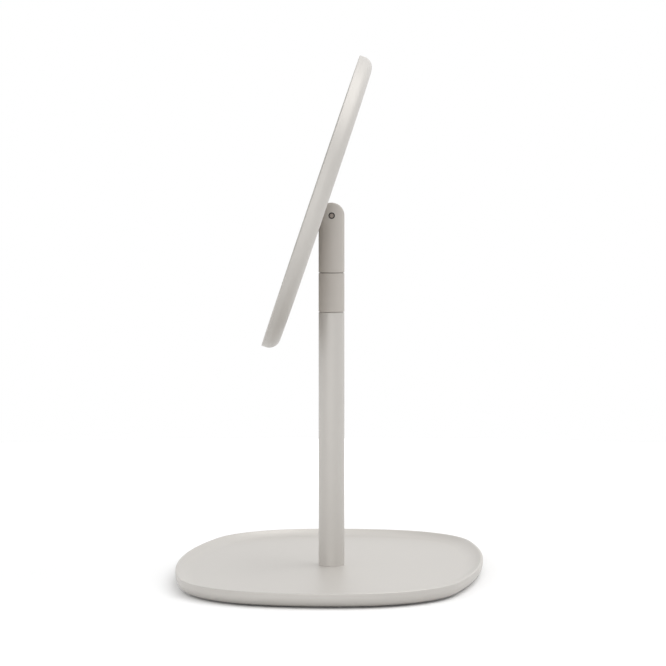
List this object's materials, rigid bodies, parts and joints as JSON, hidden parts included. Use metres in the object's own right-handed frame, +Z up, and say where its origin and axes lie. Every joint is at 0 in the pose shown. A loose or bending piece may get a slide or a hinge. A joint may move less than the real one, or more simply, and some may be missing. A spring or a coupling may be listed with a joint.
{
  "type": "table mirror",
  "caption": "Free-standing table mirror: a shallow oval tray carries a round stem whose head swivels, with a round mirror that tilts on a pin.",
  "frame": {"origin": "on the table under the stem's axis, at the middle of the tray's underside", "axes": "+Z up along the stem, +X along the tray's length, and the glass faces -Y, turned a few degrees at rest as pictured"},
  "size_m": [0.29, 0.188, 0.3206],
  "materials": {
    "satin_paint": "satin powder coat in a warm light grey",
    "steel": "plain bright steel",
    "dark_acetal": "matt dark",
    "pad_rubber": "matt dark, fine grain",
    "board": "raw fibre board",
    "foam_tape": "white foam",
    "mirror_glass": "silvered glass"
  },
  "bodies": {
    "base": {"tray": "satin_paint", "base_pad": "pad_rubber", "base_screw": "steel", "foot_plug": "steel", "stem_tube": "satin_paint", "swivel_collar": "satin_paint", "collar_bush": "dark_acetal"},
    "head": {"hinge_head": "satin_paint", "hinge_pin": "steel", "swivel_spindle": "steel", "thrust_washer": "steel", "spring_washer": "steel", "spindle_nut": "steel"},
    "mirror": {"mirror_shell": "satin_paint", "mirror_glass": "mirror_glass", "adhesive_sheet": "foam_tape", "backing_disc": "board", "hinge_lug": "satin_paint", "lug_washers": "dark_acetal", "bracket_screws": "steel"}
  },
  "joints": [
    {"name": "head_swivel", "type": "hinge", "parent": "base", "child": "head", "pos_m": [0, 0, 0.1868], "axis": [0, 0, 1], "continuous": true},
    {"name": "mirror_tilt", "type": "hinge", "parent": "head", "child": "mirror", "pos_m": [0, 0, 0.22197], "axis": [-0.9955, -0.095, 0], "range_deg": [-12.3, 71.2]}
  ]
}
